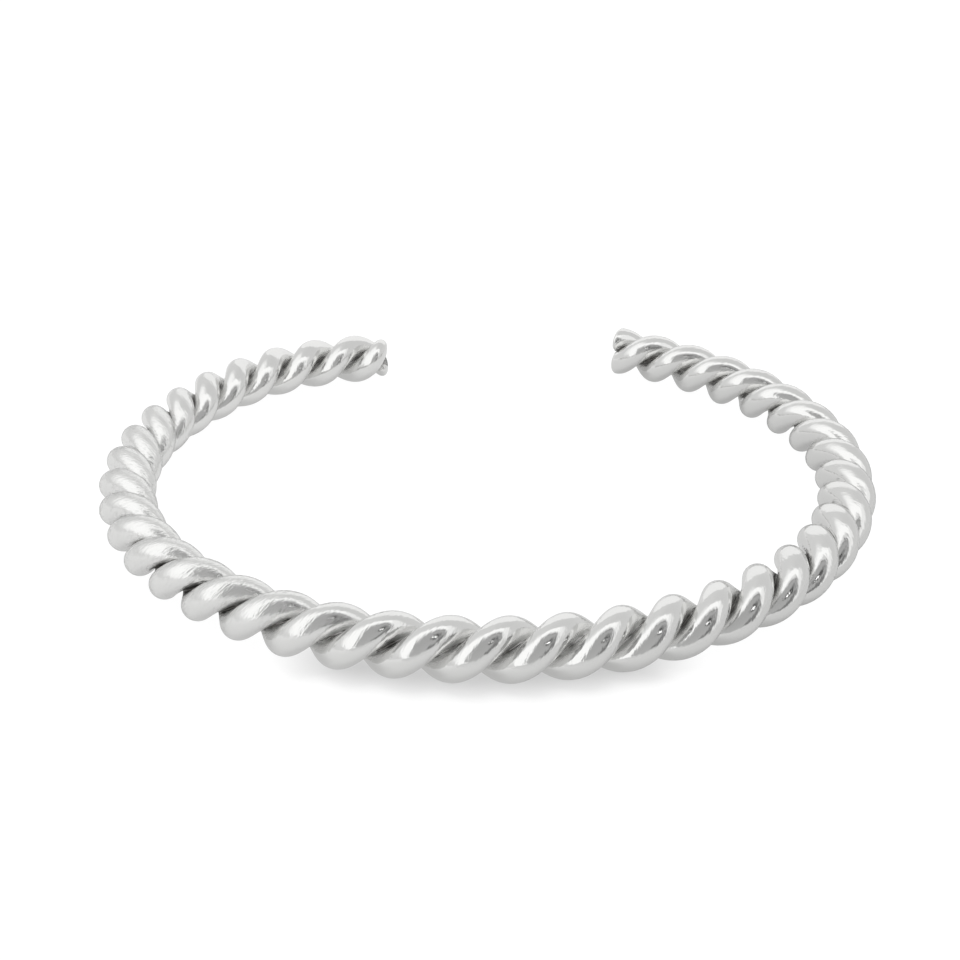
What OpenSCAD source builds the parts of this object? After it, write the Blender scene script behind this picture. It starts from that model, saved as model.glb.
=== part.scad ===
// Open bangle bent from two round wires that are twisted together.
// The bangle lies flat: Z = 0 is the surface under it, and the Z axis runs through the middle of the oval.
// The front of the oval is at -Y and the gap between the two cut ends is at +Y.
// Turns are degrees round the oval from the middle of the front, positive towards +X.

/* [Wire] */
// Diameter of each wire
wire_d = 2.35; // [1.6:0.05:2.8]
// Play between the two wires where they meet
wire_gap = 0.05; // [0.03:0.01:0.2]

/* [Twist] */
// Length of one full turn of the twist, in distances between the middles of the two wires
twist_lay = 3.417; // [3.4:0.001:6]
// Place of the first wire at the middle of the front, in degrees up from the outside
twist_start = 52; // [0:1:359]

/* [Oval] */
// Clear width inside the oval, side to side
inside_w = 57; // [50:0.5:70]
// Clear depth inside the oval, front to back, before the tips are bent
inside_d = 51; // [45:0.5:65]

/* [Gap] */
// Distance from one cut end to the other, from side to side
gap_w = 23.7; // [14:0.1:28]
// Distance of the middle of the gap from the middle of the oval, towards +X
gap_shift = 1.65; // [-3:0.05:3]

/* [Tips] */
// Turn at which each tip begins, in degrees
tip_turn = 125; // [110:1:125]
// How far the end of the left tip is pressed in, towards the front
left_tip_in = 2.8; // [-1:0.1:3]
// How far the end of the right tip is pressed in, towards the front
right_tip_in = -0.5; // [-1:0.1:3]
// Rounding of the edges of the cut at the left end
left_end_round = 1.05; // [0.1:0.05:1.1]
// Rounding of the edges of the cut at the right end
right_end_round = 0.45; // [0.1:0.05:1.1]

/* [Detail] */
// Sides of each wire
wire_sides = 12; // [10:1:16]
// Rings of points along one full turn of the twist
rings_per_turn = 16; // [12:1:20]

/* [Hidden] */

silver = [0.80, 0.80, 0.79];

wire_r = wire_d / 2;
// Distance from the middle of the rope to the middle of each wire
lay_r = wire_r + wire_gap / 2;
rope_r = lay_r + wire_r;
// Half width and half depth of the oval along the middle of the rope
half_w = inside_w / 2 + rope_r;
half_d = inside_d / 2 + rope_r;

// Length along the rope of one full turn of the twist
pitch = twist_lay * 2 * lay_r;
// Lean of the wires off the line of the rope
lean = atan(2 * PI * lay_r / pitch);
half_turn = 180;

left_end = asin((gap_w / 2 - gap_shift) / half_w) - half_turn;
right_end = half_turn - asin((gap_w / 2 + gap_shift) / half_w);

// Share of the way along its tip that a turn has reached, 0 before the tip begins
function tip_share(turn, end) = max(0, (abs(turn) - tip_turn) / (abs(end) - tip_turn));

function tip_in(turn) = turn < 0
    ? left_tip_in * tip_share(turn, left_end) ^ 2
    : right_tip_in * tip_share(turn, right_end) ^ 2;

// Middle of the rope at a turn, seen from above
function middle(turn) = [half_w * sin(turn), -half_d * cos(turn) - tip_in(turn)];

// Direction of the rope at a turn
function along(turn) =
    let (step = 0.01, way = middle(turn + step) - middle(turn - step))
    way / norm(way);

// Distance along the rope from the left end against the turn reached there
way_steps = 720;
way_step = (right_end - left_end) / way_steps;
way_turns = [
    for (
        i = 0, way = 0;
        i <= way_steps;
        way = way + norm(middle(left_end + (i + 1) * way_step) - middle(left_end + i * way_step)),
        i = i + 1
    )
    [way, left_end + i * way_step]
];
rope_len = way_turns[way_steps][0];
front_way = lookup(0, [for (pair = way_turns) [pair[1], pair[0]]]);

// Stations along the rope, each with the share of the wire's thickness there: a quarter round at both ends
round_steps = 3;
// The widest rounding leaves a small flat in the middle of each cut wire
widest_round = 0.95 * wire_r;
left_round = min(left_end_round, widest_round);
right_round = min(right_end_round, widest_round);
full_len = rope_len - left_round - right_round;
ring_steps = ceil(full_len / pitch * rings_per_turn);
function round_station(i, round_r) =
    let (angle = 90 * i / round_steps)
    [round_r * (1 - cos(angle)), 1 - round_r / wire_r * (1 - sin(angle))];
stations = [
    for (i = [0:round_steps - 1]) round_station(i, left_round),
    for (i = [0:ring_steps]) [left_round + full_len * i / ring_steps, 1],
    for (i = [round_steps - 1:-1:0])
    let (station = round_station(i, right_round))
    [rope_len - station[0], station[1]]
];

// Outline of a wire cut square across the rope, as points of the section: outwards, then up.
// The cut is slanted to the wire, so each point of it is turned on by its distance ahead along the wire.
function wire_section(place, share) = [
    for (i = [0:wire_sides - 1])
    let (
        angle = 360 * i / wire_sides,
        out = lay_r + wire_r * share * cos(angle),
        aside = wire_r * share * sin(angle) * cos(lean),
        ahead = wire_r * share * sin(angle) * sin(lean),
        turned = place + 360 * ahead / pitch
    )
    [out * cos(turned) - aside * sin(turned), out * sin(turned) + aside * cos(turned)]
];

// Ring of points of a wire at a station
function wire_ring(station, start) =
    let (
        turn = lookup(station[0], way_turns),
        centre = middle(turn),
        dir = along(turn),
        outward = [dir[1], -dir[0]],
        place = start + 360 * (station[0] - front_way) / pitch
    )
    [
        for (point = wire_section(place, station[1]))
        [centre[0] + point[0] * outward[0], centre[1] + point[0] * outward[1], rope_r + point[1]]
    ];

// Closed tube through rings that all have the same number of points
module tube(rings) {
    sides = len(rings[0]);
    last = len(rings) - 1;
    points = [for (ring = rings) each ring];
    walls = [
        for (i = [0:last - 1], j = [0:sides - 1])
        let (
            k = (j + 1) % sides,
            near = i * sides,
            far = near + sides
        )
        each [[near + j, far + j, near + k], [near + k, far + j, far + k]]
    ];
    first_cap = [for (j = [0:sides - 1]) j];
    last_cap = [for (j = [sides - 1:-1:0]) last * sides + j];
    polyhedron(points = points, faces = concat([first_cap], walls, [last_cap]), convexity = 10);
}

module wire(start) {
    color(silver) tube([for (station = stations) wire_ring(station, start)]);
}

module first_wire() {
    wire(twist_start);
}

module second_wire() {
    wire(twist_start + half_turn);
}

first_wire();
second_wire();
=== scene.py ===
"""Polished twisted wire bangle on a white table, seen as in the photograph."""

import logging
import math
from dataclasses import dataclass, field
from enum import Enum
from typing import Any, Sequence

import bpy
from mathutils import Euler, Matrix, Vector


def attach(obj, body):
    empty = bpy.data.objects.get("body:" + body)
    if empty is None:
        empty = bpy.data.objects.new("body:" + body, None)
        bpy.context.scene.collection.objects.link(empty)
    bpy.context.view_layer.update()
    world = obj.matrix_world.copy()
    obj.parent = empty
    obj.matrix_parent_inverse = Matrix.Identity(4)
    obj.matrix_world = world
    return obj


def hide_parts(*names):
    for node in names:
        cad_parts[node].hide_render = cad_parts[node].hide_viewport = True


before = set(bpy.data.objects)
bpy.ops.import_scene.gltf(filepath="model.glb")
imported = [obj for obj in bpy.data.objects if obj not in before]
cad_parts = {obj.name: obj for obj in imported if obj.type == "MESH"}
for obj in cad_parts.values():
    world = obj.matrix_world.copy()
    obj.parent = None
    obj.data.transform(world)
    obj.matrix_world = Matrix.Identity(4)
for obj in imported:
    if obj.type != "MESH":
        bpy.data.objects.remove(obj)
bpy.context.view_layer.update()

MM = 0.001

# Numbers of the Mix node's sockets that mix colours
MIX_SHARE, MIX_LOW, MIX_HIGH, MIXED = 0, 6, 7, 2
# What a random pattern gives on average
MEAN = 0.5
# Share of each side that is cut off with a card's corner
CORNER_CUT = 0.25
# Corners of a round card before they are cut, and their distance from its middle in radii
DISC_CORNERS = 6
DISC_REACH = 1.08

Colour = tuple[float, float, float, float]
Span = tuple[float, float]
Stretch = tuple[float, float, float, float]
Outline = tuple[tuple[float, float], ...]

log = logging.getLogger("bangle")


class Ply(Enum):
    """The two wires of the twist, each with its share of a full turn behind the first."""

    FIRST = ("first_wire", 0.0)
    SECOND = ("second_wire", 0.5)

    @property
    def node(self) -> str:
        """Name of the solid that the wire stands for."""
        return self.value[0]

    @property
    def lag(self) -> float:
        """Share of a full turn that the wire lies behind the first one."""
        return self.value[1]


def toward(azimuth: float, elevation: float) -> Vector:
    """Direction from the bangle.

    Args:
        azimuth: Degrees round from the front, positive towards +X.
        elevation: Degrees above the table.

    Returns:
        The direction, of length 1.
    """
    a, e = math.radians(azimuth), math.radians(elevation)
    return Vector((math.sin(a) * math.cos(e), -math.cos(a) * math.cos(e), math.sin(e)))


def grey(level: float) -> Colour:
    """Neutral colour of a level."""
    return level, level, level, 1.0


def put(name: str, data: Any) -> Any:
    """Put a mesh, a light or a camera in the scene.

    Args:
        name: Name of its object.
        data: The mesh, light or camera.

    Returns:
        Its object.
    """
    made = bpy.data.objects.new(name, data)
    bpy.context.scene.collection.objects.link(made)
    return made


@dataclass(frozen=True)
class Socket:
    """A node's output, with the operators that shader maths needs.

    Attributes:
        graph: The graph that new nodes are added to.
        out: The output that the expression reads.
    """

    graph: "Graph"
    out: Any

    def _math(self, operation: str, *values: Any) -> "Socket":
        """Add a Math node and return its value."""
        return self.graph.node("ShaderNodeMath", {"operation": operation}, dict(enumerate(values)))

    def __add__(self, other: Any) -> "Socket":
        """Sum of the two values."""
        return self._math("ADD", self, other)

    def __sub__(self, other: Any) -> "Socket":
        """This value less the other."""
        return self._math("SUBTRACT", self, other)

    def __mul__(self, other: Any) -> "Socket":
        """Product of the two values."""
        return self._math("MULTIPLY", self, other)

    def __abs__(self) -> "Socket":
        """The value without its sign."""
        return self._math("ABSOLUTE", self)

    def __rsub__(self, other: Any) -> "Socket":
        """The other value less this one."""
        return self._math("SUBTRACT", other, self)

    __radd__ = __add__
    __rmul__ = __mul__

    def over(self, low: float, high: float) -> "Socket":
        """Smooth step of the value.

        Args:
            low: Value that gives 0.
            high: Value that gives 1.

        Returns:
            The stepped value.
        """
        inputs = {"Value": self, "From Min": low, "From Max": high, "To Min": 0.0, "To Max": 1.0}
        settings = {"interpolation_type": "SMOOTHSTEP"}
        return self.graph.node("ShaderNodeMapRange", settings, inputs, "Result")

    def within(self, begin: float, full: float, fade: float, end: float) -> "Socket":
        """Smooth step of the value up to 1 and back to 0.

        Args:
            begin: Value at which it rises from 0.
            full: Value at which it has reached 1.
            fade: Value at which it falls from 1.
            end: Value at which it is back at 0.

        Returns:
            The stepped value.
        """
        return self.over(begin, full) - self.over(fade, end)

    def least(self, other: Any) -> "Socket":
        """The lesser of the two values."""
        return self._math("MINIMUM", self, other)

    def most(self, other: Any) -> "Socket":
        """The greater of the two values."""
        return self._math("MAXIMUM", self, other)


class Graph:
    """The node tree of one material or world."""

    def __init__(self, tree: Any) -> None:
        """Empty the tree.

        Args:
            tree: The node tree to fill.
        """
        self.tree = tree
        tree.nodes.clear()

    def node(self, kind: str, settings: dict[str, Any], inputs: dict[Any, Any], output: Any = 0) -> Socket:
        """Add a node.

        Args:
            kind: Type of the node.
            settings: Its own settings, set before its sockets.
            inputs: Values or links of its input sockets, by name or number.
            output: Name or number of the output that is wanted.

        Returns:
            The wanted output.
        """
        made = self.tree.nodes.new(kind)
        for name, value in settings.items():
            setattr(made, name, value)
        for name, value in inputs.items():
            if isinstance(value, Socket):
                self.tree.links.new(value.out, made.inputs[name])
            else:
                made.inputs[name].default_value = value
        return Socket(self, made.outputs[output] if len(made.outputs) else None)

    def attribute(self, name: str, output: str) -> Socket:
        """Read one of the mesh's attributes.

        Args:
            name: Its name.
            output: "Vector" for a place, "Fac" for a number.

        Returns:
            Its value.
        """
        settings = {"attribute_name": name, "attribute_type": "GEOMETRY"}
        return self.node("ShaderNodeAttribute", settings, {}, output)

    def axis(self, place: Socket, letter: str) -> Socket:
        """One axis of a place, by its letter."""
        return self.node("ShaderNodeSeparateXYZ", {}, {0: place}, letter)

    def scaled(self, place: Socket, scale: tuple[float, float, float]) -> Socket:
        """A place with each of its axes multiplied by a scale of its own."""
        inputs = {"Vector": place, "Scale": scale}
        return self.node("ShaderNodeMapping", {"vector_type": "POINT"}, inputs, "Vector")

    def reach(self, place: Socket, way: Vector) -> Socket:
        """How far a place lies from the origin in a direction."""
        return self.node("ShaderNodeVectorMath", {"operation": "DOT_PRODUCT"}, {0: place, 1: way}, "Value")

    def blend(self, share: Any, low: Any, high: Any) -> Socket:
        """Mix two colours.

        Args:
            share: Share of the second colour.
            low: The first colour.
            high: The second colour.

        Returns:
            The mixed colour.
        """
        inputs = {MIX_SHARE: share, MIX_LOW: low, MIX_HIGH: high}
        return self.node("ShaderNodeMix", {"data_type": "RGBA"}, inputs, MIXED)


def new_material(name: str) -> tuple[Any, Graph]:
    """Make a material with an empty graph.

    Args:
        name: Its name.

    Returns:
        The material and its graph.
    """
    material = bpy.data.materials.new(name)
    material.use_nodes = True
    return material, Graph(material.node_tree)


@dataclass(frozen=True)
class Pattern:
    """Random pattern over a wire's skin.

    Attributes:
        scale: Spots per millimetre.
        detail: Layers of finer spots in them.
        relief: Height of the spots, in depths of the skin.
        extra: What is added to that height where the skin is worn or dull.
    """

    scale: float
    detail: float
    relief: float = 0.0
    extra: float = 0.0

    def spots(self, graph: Graph, place: Socket) -> Socket:
        """Add the pattern to a material.

        Args:
            graph: The material's graph.
            place: Place on the wire's skin, in millimetres.

        Returns:
            Its value, from 0 to 1 and MEAN on average.
        """
        inputs = {"Vector": place, "Scale": self.scale, "Detail": self.detail}
        return graph.node("ShaderNodeTexNoise", {}, inputs, "Fac")


@dataclass(frozen=True)
class PolishedSilver:
    """Polished silver wire, dull in the grooves of the twist, where patina and painted shade darken it.

    Places along the wire are in millimetres from its left end. Depths in a groove are 0 at the wire's crown
    and 1 where the wires meet, and what moves the edge of the darkening is told in the same depths.

    Attributes:
        bright: Colour of the clean metal.
        patina_and_shade_colour: Colour of the darkening in the grooves, patina together with painted shade.
        mirror: Roughness of the polished crown of the wire.
        worn: Roughness in the grooves, where no polishing wheel reaches.
        patina_and_shade_depths: Depths between which that darkening grows from none to full.
        worn_from: Depths between which the polish goes over to the worn skin.
        blotch: Pattern of the patches into which the darkening reaches further.
        drawn: Pattern of the grain that drawing the wire left.
        drawn_out: Scales of that grain across the wire, both ways, and along it.
        beaten: Pattern of the small dents.
        swell: Pattern of the wide, shallow waves.
        grain: Pattern of the fine grain, which shows most where the polish is dull.
        depth: Depth of the skin's relief, in millimetres.
        streaked: How far the drawn grain moves the edge of the darkening.
        blotched: How far the patches move it.
        frayed: How far the drawn grain moves the edge of the worn skin.
        one_sided: How much further the darkening reaches on its wider wall, for each millimetre off the
            crown: painted shade on that wall.
        lower_walls: Where along the wire that is the lower wall and not the upper one: the places at which
            the change begins, is made, is taken back and ends.
        eased_by: How far back the darkening is pulled, as painted light on the grooves round the front,
            which face the light.
        eased_at: Place along the wire round which it is pulled back.
        eased_reach: Distances from there at which the darkening begins to return and is back.
        eased_tips: Distances from there at which it is pulled back again, towards the tips.
        tips_share: How much of that pulling back the tips have.
        dulled: The places along the wire where a duller polish begins, is full, fades and ends.
        dull_rough: Roughness added there.
        dull_reach: How much further the darkening reaches there.
        dull_specks: Strength of the specks of patina on the walls there.
    """

    bright: Colour = (0.80, 0.80, 0.79, 1.0)
    patina_and_shade_colour: Colour = (0.12, 0.117, 0.11, 1.0)
    mirror: float = 0.10
    worn: float = 0.38
    patina_and_shade_depths: Span = (0.64, 0.90)
    worn_from: Span = (0.40, 0.80)
    blotch: Pattern = Pattern(0.5, 4.0)
    drawn: Pattern = Pattern(1.6, 3.0, 0.10, 0.12)
    drawn_out: tuple[float, float, float] = (9.0, 9.0, 0.9)
    beaten: Pattern = Pattern(1.9, 2.0, 0.85)
    swell: Pattern = Pattern(0.4, 0.0, 3.5)
    grain: Pattern = Pattern(3.6, 2.0, 0.34, 1.30)
    depth: float = 0.024
    streaked: float = 0.75
    blotched: float = 0.70
    frayed: float = 0.3
    one_sided: float = 0.10
    lower_walls: Stretch = (85.0, 130.0, 142.0, 162.0)
    eased_by: float = 0.17
    eased_at: float = 108.0
    eased_reach: Span = (16.0, 34.0)
    eased_tips: Span = (55.0, 85.0)
    tips_share: float = 0.8
    dulled: Stretch = (25.0, 45.0, 84.0, 102.0)
    dull_rough: float = 0.10
    dull_reach: float = 0.05
    dull_specks: float = 1.3

    def one_wall_shade(self, along: Socket, wall: Socket) -> Socket:
        """How much further the painted shade in the grooves reaches on the wall where it is wider.

        Args:
            along: Place along the wire.
            wall: Distance off the crown in millimetres, positive on the upper wall.

        Returns:
            The distance.
        """
        # Painted shade: it falls further on the upper wall, or on the lower one within lower_walls
        low = along.within(*self.lower_walls)
        return (wall.most(0.0) * (1.0 - low) - wall.least(0.0) * low) * self.one_sided

    def shade_eased(self, along: Socket) -> Socket:
        """How far back the groove darkening is pulled, as painted light round the front and again at the
        tips.

        Args:
            along: Place along the wire.

        Returns:
            The distance.
        """
        far = abs(along - self.eased_at)
        share = 1.0 - far.over(*self.eased_reach) + far.over(*self.eased_tips) * self.tips_share
        return share * self.eased_by

    def make(self) -> Any:
        """Build the material.

        Returns:
            The material.
        """
        material, graph = new_material("polished_silver")
        place, groove = graph.attribute("wire_place", "Vector"), graph.attribute("groove", "Fac")
        along, wall = graph.axis(place, "Z"), graph.axis(place, "Y")
        drawn = self.drawn.spots(graph, graph.scaled(place, self.drawn_out))
        blotch, beaten, swell, grain = (
            pattern.spots(graph, place) for pattern in (self.blotch, self.beaten, self.swell, self.grain)
        )
        dull = along.within(*self.dulled)
        streaks = (drawn - MEAN) * self.streaked + (blotch - MEAN) * self.blotched
        # Painted light pulls the groove darkening back round the front, where the grooves face the light;
        # painted shade reaches further on one wall
        further = self.one_wall_shade(along, wall) + dull * self.dull_reach - self.shade_eased(along)
        specks = (grain - MEAN).most(0.0) * dull * groove * self.dull_specks
        # Darkening in the grooves: patina together with painted shade
        patina_and_shade = (groove + streaks + further).over(*self.patina_and_shade_depths) + specks
        wear = (groove + (drawn - MEAN) * self.frayed).over(*self.worn_from)
        height = beaten * self.beaten.relief + swell * self.swell.relief
        height += drawn * (wear * self.drawn.extra + self.drawn.relief)
        height += grain * (dull * self.grain.extra + self.grain.relief)
        skin = {"Height": height, "Strength": 1.0, "Distance": self.depth * MM}
        inputs = {
            "Base Color": graph.blend(patina_and_shade, self.bright, self.patina_and_shade_colour),
            "Metallic": 1.0,
            "Roughness": wear * (self.worn - self.mirror) + dull * self.dull_rough + self.mirror,
            "Normal": graph.node("ShaderNodeBump", {}, skin, "Normal"),
        }
        shader = graph.node("ShaderNodeBsdfPrincipled", {}, inputs)
        graph.node("ShaderNodeOutputMaterial", {}, {"Surface": shader})
        return material


@dataclass(frozen=True)
class TableWhite:
    """White sheet lit from below, with a painted shadow before the bangle only; the silver mirrors it
    greyer.

    Each pair holds the colour of the sheet and the light that comes up through it.

    Attributes:
        painted_shadow: The pair before the bangle's front, whose dimmer light paints a soft shadow there;
            the cast shadow shows in it too.
        lit: The pair elsewhere, where the light from below outshines them.
        mirrored_left: The pair that the silver mirrors at the left, towards -X.
        mirrored_right: The pair that it mirrors at the right.
        oval: Half width and half depth of the bangle, in metres.
        outside: Shares of that oval between which the painted shadow fades outwards.
        behind: Places between which it fades towards the back, in half depths from the middle.
        beside: Places between which it fades to both sides, in half widths from the middle, squared.
        across: Places between which the left mirrored pair changes to the right one, in half widths.
        roughness: Roughness of the sheet.
    """

    painted_shadow: Span = (0.40, 0.43)
    lit: Span = (0.05, 0.965)
    mirrored_left: Span = (0.166, 0.56)
    mirrored_right: Span = (0.166, 0.39)
    oval: Span = (0.0332, 0.0302)
    outside: Span = (0.915, 1.09)
    behind: Span = (-0.80, -0.60)
    beside: Span = (0.06, 0.24)
    across: Span = (-1.5, 1.5)
    roughness: float = 0.9

    def make(self) -> Any:
        """Build the material.

        Returns:
            The material.
        """
        material, graph = new_material("table_white")
        glossy = graph.node("ShaderNodeLightPath", {}, {}, "Is Glossy Ray")
        place = graph.node("ShaderNodeTexCoord", {}, {}, "Object")
        spot = graph.scaled(place, (1 / self.oval[0], 1 / self.oval[1], 0.0))
        out = graph.node("ShaderNodeVectorMath", {"operation": "LENGTH"}, {0: spot}, "Value")
        right, back = graph.axis(spot, "X"), graph.axis(spot, "Y")
        # Painted shadow: the light from below is dimmed in a band round the bangle's front
        away = out.over(*self.outside).most(back.over(*self.behind)).most((right * right).over(*self.beside))
        change = right.over(*self.across)
        looks = []
        for painted_shadow, lit, left_side, right_side in zip(
            self.painted_shadow, self.lit, self.mirrored_left, self.mirrored_right
        ):
            seen = graph.blend(away, grey(painted_shadow), grey(lit))
            mirrored = graph.blend(change, grey(left_side), grey(right_side))
            looks.append(graph.blend(glossy, seen, mirrored))
        colour, light = looks
        inputs = {
            "Base Color": colour,
            "Emission Color": light,
            "Emission Strength": 1.0,
            "Roughness": self.roughness,
        }
        shader = graph.node("ShaderNodeBsdfPrincipled", {}, inputs)
        graph.node("ShaderNodeOutputMaterial", {}, {"Surface": shader})
        return material


@dataclass(frozen=True)
class CardGlow:
    """Glow of a card in the studio.

    Attributes:
        name: Its name.
        glow: Light that it gives off, where white is 1.
        top_glow: Light that its upper part gives off.
        up: Direction in which it changes.
        change: Heights between which it changes, in metres.
    """

    name: str
    glow: float
    top_glow: float
    up: Vector
    change: Span

    def make(self) -> Any:
        """Build the material.

        Returns:
            The material.
        """
        material, graph = new_material(self.name)
        height = graph.reach(graph.node("ShaderNodeTexCoord", {}, {}, "Object"), self.up)
        light = graph.blend(height.over(*self.change), grey(self.glow), grey(self.top_glow))
        shader = graph.node("ShaderNodeEmission", {}, {"Color": light, "Strength": 1.0})
        graph.node("ShaderNodeOutputMaterial", {}, {"Surface": shader})
        return material


@dataclass(frozen=True)
class Rope:
    """Middle line of the twist round the wrist, and the wires' place in it; all sizes in millimetres.

    Attributes:
        wire_d: Diameter of each wire.
        wire_gap: Play between the wires where they meet.
        twist_lay: Length of a full turn, in distances between the wires' middles.
        twist_start: Place of the first wire at the front, in degrees up from the outside.
        inside_w: Clear width inside the oval.
        inside_d: Clear depth inside the oval.
        gap_w: Distance between the two cut ends.
        gap_shift: Distance of the gap's middle from the oval's, towards +X.
        tip_turn: Turn at which each tip begins, in degrees.
        left_tip_in: How far the left tip is pressed in.
        right_tip_in: How far the right tip is pressed in.
        steps: Steps in which the middle line is measured.
        aim: Turn to each side over which the middle line's direction is taken, in degrees.
    """

    wire_d: float = 2.35
    wire_gap: float = 0.05
    twist_lay: float = 3.417
    twist_start: float = 52.0
    inside_w: float = 57.0
    inside_d: float = 51.0
    gap_w: float = 23.7
    gap_shift: float = 1.65
    tip_turn: float = 125.0
    left_tip_in: float = 2.8
    right_tip_in: float = -0.5
    steps: int = 2880
    aim: float = 0.01

    @property
    def wire_r(self) -> float:
        """Radius of a wire."""
        return self.wire_d / 2

    @property
    def lay_r(self) -> float:
        """Distance from the rope's middle to a wire's middle."""
        return self.wire_r + self.wire_gap / 2

    @property
    def rope_r(self) -> float:
        """Radius of the whole twist."""
        return self.lay_r + self.wire_r

    @property
    def pitch(self) -> float:
        """Length along the rope of one full turn."""
        return self.twist_lay * 2 * self.lay_r

    @property
    def lean(self) -> float:
        """Lean of the wires off the line of the rope, in radians."""
        return math.atan(2 * math.pi * self.lay_r / self.pitch)

    @property
    def half_w(self) -> float:
        """Half width of the middle line."""
        return self.inside_w / 2 + self.rope_r

    @property
    def half_d(self) -> float:
        """Half depth of the middle line."""
        return self.inside_d / 2 + self.rope_r

    @property
    def left_end(self) -> float:
        """Turn of the left cut end, in degrees."""
        return math.degrees(math.asin((self.gap_w / 2 - self.gap_shift) / self.half_w)) - 180

    @property
    def right_end(self) -> float:
        """Turn of the right cut end, in degrees."""
        return 180 - math.degrees(math.asin((self.gap_w / 2 + self.gap_shift) / self.half_w))

    def middle(self, turn: float) -> Vector:
        """Point of the middle line, seen from above.

        Args:
            turn: Degrees round from the front, positive towards +X.

        Returns:
            The point.
        """
        end, reach = (self.left_end, self.left_tip_in) if turn < 0 else (self.right_end, self.right_tip_in)
        share = max(0.0, (abs(turn) - self.tip_turn) / (abs(end) - self.tip_turn))
        angle = math.radians(turn)
        return Vector((self.half_w * math.sin(angle), -self.half_d * math.cos(angle) - reach * share**2))

    def outward(self, turn: float) -> Vector:
        """Direction square to the rope, away from the wrist, at a turn."""
        way = (self.middle(turn + self.aim) - self.middle(turn - self.aim)).normalized()
        return Vector((way.y, -way.x))

    def table(self) -> list[tuple[float, float]]:
        """Measure the middle line.

        Returns:
            Distances along the rope from its left end, each with the turn reached there.
        """
        step = (self.right_end - self.left_end) / self.steps
        rows, way = [], 0.0
        for i in range(self.steps + 1):
            turn, ahead = self.left_end + i * step, self.left_end + (i + 1) * step
            rows.append((way, turn))
            way += (self.middle(ahead) - self.middle(turn)).length
        return rows


def lookup(key: float, rows: Sequence[tuple[float, float]]) -> float:
    """Value that a table of rising keys gives, by straight lines between its rows.

    Args:
        key: The key.
        rows: Pairs of key and value.

    Returns:
        The value.
    """
    low, high = 0, len(rows) - 1
    while high - low > 1:
        middle = (low + high) // 2
        low, high = (middle, high) if rows[middle][0] <= key else (low, middle)
    (a, x), (b, y) = rows[low], rows[high]
    return x + (y - x) * (key - a) / (b - a)


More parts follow.
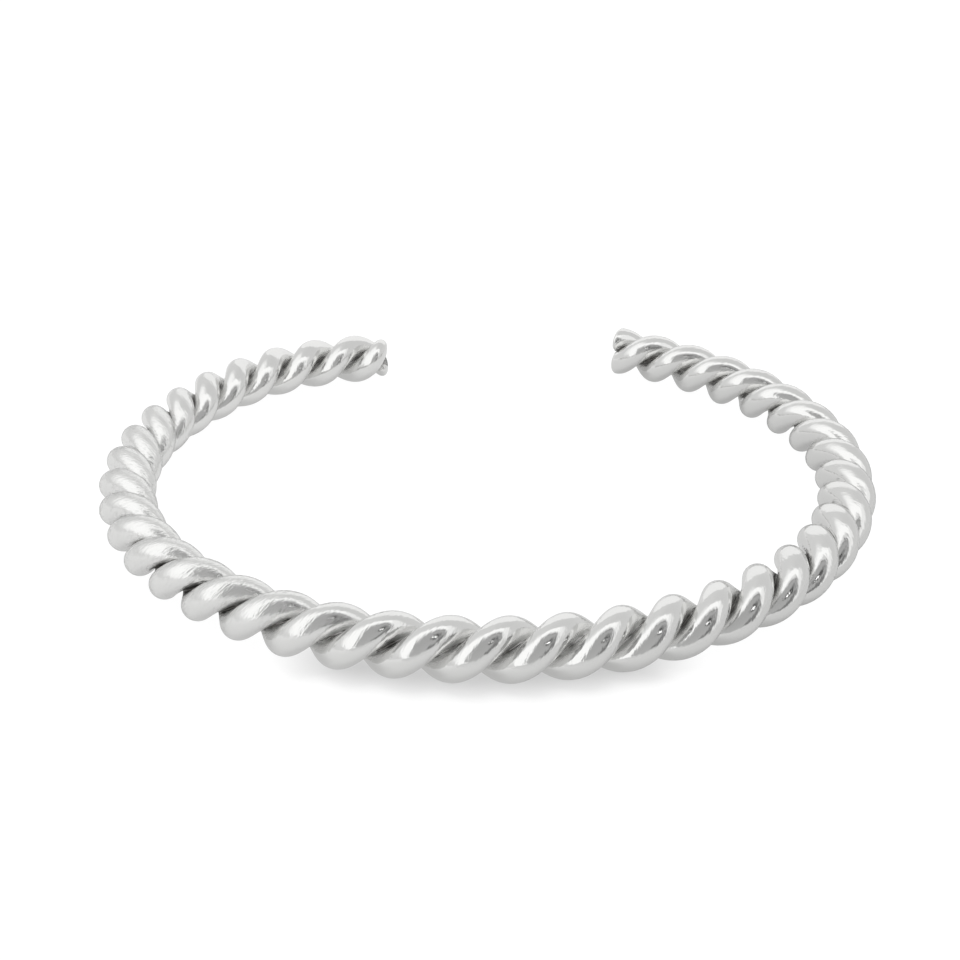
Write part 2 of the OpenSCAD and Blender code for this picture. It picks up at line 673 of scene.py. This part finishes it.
@dataclass
class Wire:
    """One round wire of the twist, from cut to cut.

    Attributes:
        ply: Which of the two wires it is.
        rope: The twist that it lies in.
        left_round: Rounding of the cut's edge at the left end, in millimetres.
        right_round: Rounding of the cut's edge at the right end, in millimetres.
        sides: Points round the wire.
        rings_per_turn: Rings of points along one turn of the twist.
        round_steps: Rings in each rounded edge.
        filled_from: Place round the wire, in degrees from its crown, where the filled groove begins.
        fill_steps: Points in the wire's half of the filled groove.
        aim: Angle to each side over which the wire's slope there is taken, in radians.
        crease: Angle above which an edge stays sharp, in degrees.
        piece: The wire's object, once it is built.
    """

    ply: Ply
    rope: Rope
    left_round: float = 1.05
    right_round: float = 0.45
    sides: int = 38
    rings_per_turn: int = 48
    round_steps: int = 8
    filled_from: float = 125.0
    fill_steps: int = 6
    aim: float = 1e-4
    crease: float = 45.0
    piece: Any = field(default=None, init=False)

    def rounded(self, i: int, radius: float) -> tuple[float, float]:
        """One ring of a rounded edge.

        Args:
            i: Its number from the cut.
            radius: Radius of the rounding.

        Returns:
            Its distance from the cut and its share of the wire's thickness.
        """
        angle = math.pi / 2 * i / self.round_steps
        return radius * (1 - math.cos(angle)), 1 - radius / self.rope.wire_r * (1 - math.sin(angle))

    def stations(self, length: float) -> list[tuple[float, float]]:
        """Distances along the rope, each with the share of the wire's thickness there.

        Args:
            length: Length of the rope.

        Returns:
            The stations from the left cut to the right one.
        """
        full = length - self.left_round - self.right_round
        steps = math.ceil(full / self.rope.pitch * self.rings_per_turn)
        left = [self.rounded(i, self.left_round) for i in range(self.round_steps)]
        body = [(self.left_round + full * i / steps, 1.0) for i in range(steps + 1)]
        right = [self.rounded(i, self.right_round) for i in reversed(range(self.round_steps))]
        return left + body + [(length - way, share) for way, share in right]

    def slice(self, angle: float) -> Vector:
        """Point of the round wire where a plane square to the rope cuts it.

        Args:
            angle: Place round the wire from its crown, in radians.

        Returns:
            The point from the rope's middle, with the wire's crown on the first axis, in millimetres.
        """
        rope = self.rope
        out = rope.lay_r + rope.wire_r * math.cos(angle)
        aside = rope.wire_r * math.sin(angle) * math.cos(rope.lean)
        turned = 2 * math.pi * rope.wire_r * math.sin(angle) * math.sin(rope.lean) / rope.pitch
        across, up = math.cos(turned), math.sin(turned)
        return Vector((out * across - aside * up, out * up + aside * across))

    def section(self) -> list[tuple[Vector, float]]:
        """Outline of the wire with its half of the fillets in both grooves.

        Returns:
            Its points, each with its depth in the groove, 0 at the crown and 1 where the wires meet.
        """
        edge = math.radians(self.filled_from)
        start = self.slice(edge)
        way = self.slice(edge + self.aim) - self.slice(edge - self.aim)
        outward = Vector((way.y, -way.x)).normalized()
        radius = -start.x / outward.x
        middle = Vector((0.0, start.y + radius * outward.y))
        swing = math.atan2(start.x, middle.y - start.y)
        begin = (1 - math.cos(edge)) / 2
        arc = [edge * (2 * i / self.sides - 1) for i in range(self.sides + 1)]
        crown = [(self.slice(angle), (1 - math.cos(angle)) / 2) for angle in arc]
        fillet = []
        for i in range(1, self.fill_steps + 1):
            angle = swing * (1 - i / self.fill_steps)
            spot = middle + Vector((math.sin(angle), -math.cos(angle))) * radius
            fillet.append((spot, begin + (1 - begin) * i / self.fill_steps))
        return crown + fillet + [(Vector((spot.x, -spot.y)), depth) for spot, depth in reversed(fillet)]

    def skin(self) -> tuple[list[Vector], list[Vector]]:
        """Points of the wire's skin, ring after ring from the left cut to the right one.

        Returns:
            The points in metres, and their places on the unrolled wire in millimetres: from its middle
            towards the crown, from its middle towards a groove, and along it.
        """
        rope, rows = self.rope, self.rope.table()
        front = lookup(0.0, [(turn, way) for way, turn in rows])
        start = math.radians(rope.twist_start) + 2 * math.pi * self.ply.lag
        stretch = 1 / math.cos(rope.lean)
        section = [spot for spot, _ in self.section()]
        hub = Vector((rope.lay_r, 0.0))
        points: list[Vector] = []
        unrolled: list[Vector] = []
        for way, share in self.stations(rows[-1][0]):
            turn = lookup(way, rows)
            centre, outward = rope.middle(turn), rope.outward(turn)
            turned = Matrix.Rotation(start + 2 * math.pi * (way - front) / rope.pitch, 2)
            for spot in section:
                off = (spot - hub) * share
                placed = turned @ (hub + off)
                flat = centre + outward * placed.x
                points.append(Vector((flat.x, flat.y, rope.rope_r + placed.y)) * MM)
                unrolled.append(Vector((off.x, off.y, way * stretch)))
        return points, unrolled

    @staticmethod
    def faces(rings: int, count: int) -> list[list[int]]:
        """Faces between the rings of points, with a flat one on each cut.

        Args:
            rings: Number of rings.
            count: Number of points in each.

        Returns:
            The faces, each as the numbers of its points.
        """
        last = (rings - 1) * count
        made = [list(range(count))]
        for near in range(0, last, count):
            far = near + count
            for j in range(count):
                k = (j + 1) % count
                made.append([near + j, far + j, far + k, near + k])
        made.append([last + j for j in reversed(range(count))])
        return made

    def build(self) -> "Wire":
        """Make the wire's mesh, with each point's place on the unrolled wire and its depth in the groove.

        Returns:
            The wire itself.
        """
        name = self.ply.node + "_polished"
        points, unrolled = self.skin()
        depths = [depth for _, depth in self.section()]
        rings = len(points) // len(depths)
        mesh = bpy.data.meshes.new(name)
        mesh.from_pydata(points, [], self.faces(rings, len(depths)))
        mesh.shade_smooth()
        mesh.set_sharp_from_angle(angle=math.radians(self.crease))
        places = mesh.attributes.new("wire_place", "FLOAT_VECTOR", "POINT")
        places.data.foreach_set("vector", [value for place in unrolled for value in place])
        groove = mesh.attributes.new("groove", "FLOAT", "POINT")
        groove.data.foreach_set("value", depths * rings)
        mesh.validate()
        self.piece = put(name, mesh)
        return self

    def dress(self, silver: Any) -> "Wire":
        """Give the wire its finish and set it in the frame.

        Args:
            silver: The silver's material.

        Returns:
            The wire itself.
        """
        self.piece.data.materials.append(silver)
        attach(self.piece, "root")
        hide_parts(self.ply.node)
        log.info("%s: %d faces", self.piece.name, len(self.piece.data.polygons))
        return self


@dataclass
class Bangle:
    """The open bangle, two wires twisted together.

    Attributes:
        rope: The twist.
        silver: The finish.
        wires: Both wires, once they are built.
    """

    rope: Rope = field(default_factory=Rope)
    silver: PolishedSilver = field(default_factory=PolishedSilver)
    wires: list[Wire] = field(default_factory=list, init=False)

    def build(self) -> "Bangle":
        """Build both wires.

        Returns:
            The bangle itself.
        """
        self.wires = [Wire(ply, self.rope).build() for ply in Ply]
        return self

    def dress(self) -> "Bangle":
        """Dress both wires in the same silver.

        Returns:
            The bangle itself.
        """
        silver = self.silver.make()
        for wire in self.wires:
            wire.dress(silver)
        return self


@dataclass
class Table:
    """White table under the bangle.

    Attributes:
        reach: Half of its side, in metres.
        white: Its finish.
    """

    reach: float = 1.5
    white: TableWhite = field(default_factory=TableWhite)

    def build(self) -> "Table":
        """Build the table's top.

        Returns:
            The table itself.
        """
        r = self.reach
        mesh = bpy.data.meshes.new("table_top")
        mesh.from_pydata([(-r, -r, 0), (r, -r, 0), (r, r, 0), (-r, r, 0)], [], [(0, 1, 2, 3)])
        mesh.materials.append(self.white.make())
        put("table_top", mesh)
        log.info("table_top: %.1f m wide", 2 * r)
        return self


@dataclass(frozen=True)
class Softbox:
    """A soft light over the table, which the silver doesn't mirror.

    Attributes:
        name: Its name.
        place: Where it hangs, in metres.
        size: Its width and height.
        watts: Its power.
    """

    name: str
    place: tuple[float, float, float]
    size: tuple[float, float]
    watts: float

    def build(self) -> Any:
        """Hang the light up, facing the bangle.

        Returns:
            The light's object.
        """
        data = bpy.data.lights.new(self.name, "AREA")
        data.shape = "RECTANGLE"
        data.size, data.size_y = self.size
        data.energy = self.watts
        light = put(self.name, data)
        light.location = self.place
        light.rotation_euler = (-Vector(self.place)).to_track_quat("-Z", "Y").to_euler()
        light.visible_glossy = False
        log.info("%s: %.2f W", self.name, self.watts)
        return light


@dataclass(frozen=True)
class Glow:
    """A part of the tent's wall that is brighter or darker than the rest.

    Attributes:
        azimuth: Degrees round from the front, positive towards +X.
        elevation: Degrees above the table.
        full: Degrees from its middle within which it is full.
        none: Degrees from its middle beyond which there is none of it.
        level: Light that it gives.
    """

    azimuth: float
    elevation: float
    full: float
    none: float
    level: float

    def share(self, graph: Graph, way: Socket) -> Socket:
        """Share that the part has in a direction.

        Args:
            graph: The world's graph.
            way: The direction.

        Returns:
            The share, from 0 to 1.
        """
        near = graph.reach(way, toward(self.azimuth, self.elevation))
        return near.over(math.cos(math.radians(self.none)), math.cos(math.radians(self.full)))


@dataclass(frozen=True)
class Card:
    """Flat card that faces the bangle; the camera looks through it.

    Attributes:
        name: Its name.
        distance: Distance of its middle from the bangle's, in millimetres.
        corners: Its corners before they are rounded, across and up from its middle, in millimetres.
        glow: Light that it gives off.
        top_glow: Light that its upper part gives off, if that differs.
        change: Heights between which its light changes.
        cuts: How many times the corners are cut to round them.
        azimuth: Direction of its middle from the bangle, in degrees round from the front.
        elevation: Height of its middle above the table, in degrees.
    """

    name: str
    distance: float
    corners: Outline
    glow: float
    top_glow: float | None = None
    change: Span = (0.0, 1.0)
    cuts: int = 4
    azimuth: float = 0.0
    elevation: float = 55.0

    def rounded(self) -> list[Vector]:
        """Cut the corners again and again.

        Returns:
            The rounded outline, across and up from the card's middle.
        """
        flat = [Vector(corner) for corner in self.corners]
        for _ in range(self.cuts):
            sides = zip(flat, flat[1:] + flat[:1])
            flat = [a.lerp(b, share) for a, b in sides for share in (CORNER_CUT, 1 - CORNER_CUT)]
        return flat

    def build(self) -> Any:
        """Set the card up.

        Returns:
            The card's object.
        """
        centre = toward(self.azimuth, self.elevation) * self.distance
        up = toward(self.azimuth + 180.0, 90.0 - self.elevation)
        across = toward(self.azimuth + 90.0, 0.0)
        points = [(centre + across * point.x + up * point.y) * MM for point in self.rounded()]
        mesh = bpy.data.meshes.new(self.name)
        mesh.from_pydata(points, [], [list(range(len(points)))])
        top = self.glow if self.top_glow is None else self.top_glow
        low, high = ((up.dot(centre) + height) * MM for height in self.change)
        mesh.materials.append(CardGlow(self.name, self.glow, top, up, (low, high)).make())
        card = put(self.name, mesh)
        card.visible_camera = False
        card.visible_shadow = False
        card.visible_diffuse = False
        return card


def disc(x: float, y: float, radius: float) -> Outline:
    """Corners that round to a disc.

    Args:
        x: Its middle across.
        y: Its middle up.
        radius: Its radius.

    Returns:
        The corners.
    """
    reach = DISC_REACH * radius
    turns = [2 * math.pi * i / DISC_CORNERS for i in range(DISC_CORNERS)]
    return tuple((x + reach * math.cos(turn), y + reach * math.sin(turn)) for turn in turns)


@dataclass
class Studio:
    """White tent round the table, open at the front, with a soft light over it.

    Attributes:
        white: Light that the tent's walls give.
        backdrop: Light of the walls where they are seen straight, beyond the table's edge.
        glows: Brighter and darker parts of the walls.
        cards: What else the silver mirrors: the tent's back wall, its opening with a grey card and a lamp
        in it, and a painted shadow on the table behind the bangle.
        softboxes: The lights.
        bounces: How often light may go back and forth between the walls of a groove.
    """

    white: float = 0.766
    backdrop: float = 1.0
    glows: tuple[Glow, ...] = (
        Glow(-68.0, 48.0, 15.0, 42.0, 1.14),
        Glow(90.0, 50.0, 20.0, 60.0, 0.72),
    )
    cards: tuple[Card, ...] = (
        Card(
            "back_wall", 121.0, ((-118.0, -5.0), (-112.0, 148.0), (72.0, 148.0), (80.0, -5.0)),
            0.97, 1.02, (0.0, 60.0), cuts=2, azimuth=180.0, elevation=0.0,
        ),
        Card(
            "tent_mouth", 86.0,
            ((-138.0, -160.0), (-150.0, 40.0), (-90.0, 54.0), (90.0, 50.0), (140.0, 20.0), (150.0, -160.0)),
            1.19,
        ),
        Card(
            "mouth_right", 85.0,
            ((84.0, -160.0), (78.0, -20.0), (66.0, 60.0), (110.0, 60.0), (160.0, 20.0), (160.0, -160.0)),
            1.01, cuts=3,
        ),
        Card(
            "grey_halo", 84.0,
            (
                (-52.0, -160.0), (-40.0, -40.0), (-30.0, 18.0), (-6.0, 22.0), (46.0, 22.0), (72.0, 6.0),
                (100.0, -28.0), (118.0, -60.0), (128.0, -160.0),
            ),
            0.80, cuts=3,
        ),
        Card(
            "card_rim", 83.0,
            (
                (-58.0, -118.0), (-42.0, -60.0), (-31.0, -20.0), (-20.0, 11.0), (52.0, 12.0), (66.0, -6.0),
                (88.0, -32.0), (98.0, -56.0), (104.0, -118.0),
            ),
            0.20, cuts=3,
        ),
        Card(
            "grey_card", 82.0,
            (
                (-60.0, -118.0), (-43.0, -60.0), (-32.0, -20.0), (-22.0, 8.0), (48.0, 8.0), (60.0, -8.0),
                (80.0, -33.0), (91.0, -56.0), (97.0, -118.0),
            ),
            0.50, 0.45, (-110.0, -20.0), cuts=3,
        ),
        Card(
            "dark_side", 81.5,
            ((24.0, -116.0), (52.0, -66.0), (58.0, -26.0), (74.0, -32.0), (90.0, -58.0), (100.0, -116.0)),
            0.22, cuts=2,
        ),
        Card("lamp_ring", 81.0, disc(36.0, -23.0, 17.0), 0.27),
        Card("lamp_hood", 80.5, disc(30.0, -27.0, 13.0), 0.07),
        Card("lamp", 80.0, disc(28.0, -28.0, 4.6), 2.6),
        # Painted shadow on the table, seen only by the silver: a sheet just over it that gives less light
        # further out
        Card(
            "floor_shade", -0.3,
            ((-45.0, 34.0), (-60.0, 180.0), (110.0, 180.0), (85.0, 34.0)),
            0.76, 0.60, (34.0, 84.0), elevation=-90.0,
        ),
    )
    softboxes: tuple[Softbox, ...] = (Softbox("overhead", (0.0, 0.15, 0.6), (0.5, 0.5), 4.0),)
    bounces: int = 12

    def light_tent(self) -> None:
        """Light the tent's walls, which the silver mirrors and the camera sees past the table."""
        world = bpy.data.worlds.new("tent")
        bpy.context.scene.world = world
        world.use_nodes = True
        graph = Graph(world.node_tree)
        way = graph.node("ShaderNodeTexCoord", {}, {}, "Generated")
        light: Any = grey(self.white)
        for glow in self.glows:
            light = graph.blend(glow.share(graph, way), light, grey(glow.level))
        seen = graph.node("ShaderNodeLightPath", {}, {}, "Is Camera Ray")
        inputs = {"Color": graph.blend(seen, light, grey(self.backdrop)), "Strength": 1.0}
        graph.node("ShaderNodeOutputWorld", {}, {"Surface": graph.node("ShaderNodeBackground", {}, inputs)})

    def build(self) -> "Studio":
        """Light the tent, set up the cards and hang the lights.

        Returns:
            The studio itself.
        """
        bpy.context.scene.cycles.glossy_bounces = self.bounces
        self.light_tent()
        for thing in (*self.cards, *self.softboxes):
            thing.build()
        log.info("tent: %d cards, %d lights", len(self.cards), len(self.softboxes))
        return self


@dataclass(frozen=True)
class PhotoCamera:
    """The camera at the photograph's place.

    Attributes:
        place: Its place, in metres.
        tilt: Its turns about X, Y and Z, in degrees.
        lens: Focal length, in millimetres.
        sensor: Width of the sensor, in millimetres.
        sight: Distances between which it sees, in metres.
    """

    place: tuple[float, float, float] = (-0.0001028, -0.1056180, 0.0578060)
    tilt: tuple[float, float, float] = (61.6291, 0.0342, 0.2379)
    lens: float = 50.970
    sensor: float = 36.0
    sight: Span = (0.005, 10.0)

    def build(self) -> Any:
        """Set the camera up.

        Returns:
            The camera's object.
        """
        data = bpy.data.cameras.new("photo_camera")
        data.lens = self.lens
        data.sensor_width = self.sensor
        data.clip_start, data.clip_end = self.sight
        camera = put("photo_camera", data)
        camera.location = self.place
        camera.rotation_euler = Euler([math.radians(turn) for turn in self.tilt], "XYZ")
        bpy.context.scene.camera = camera
        log.info("photo_camera: %.2f mm lens", self.lens)
        return camera


def main() -> None:
    """Build the bangle, its table, the studio and the camera."""
    logging.basicConfig(level=logging.INFO, format="%(name)s: %(message)s")
    bpy.context.scene.view_settings.view_transform = "Standard"
    Bangle().build().dress()
    Table().build()
    Studio().build()
    PhotoCamera().build()


if __name__ == "__main__":
    main()
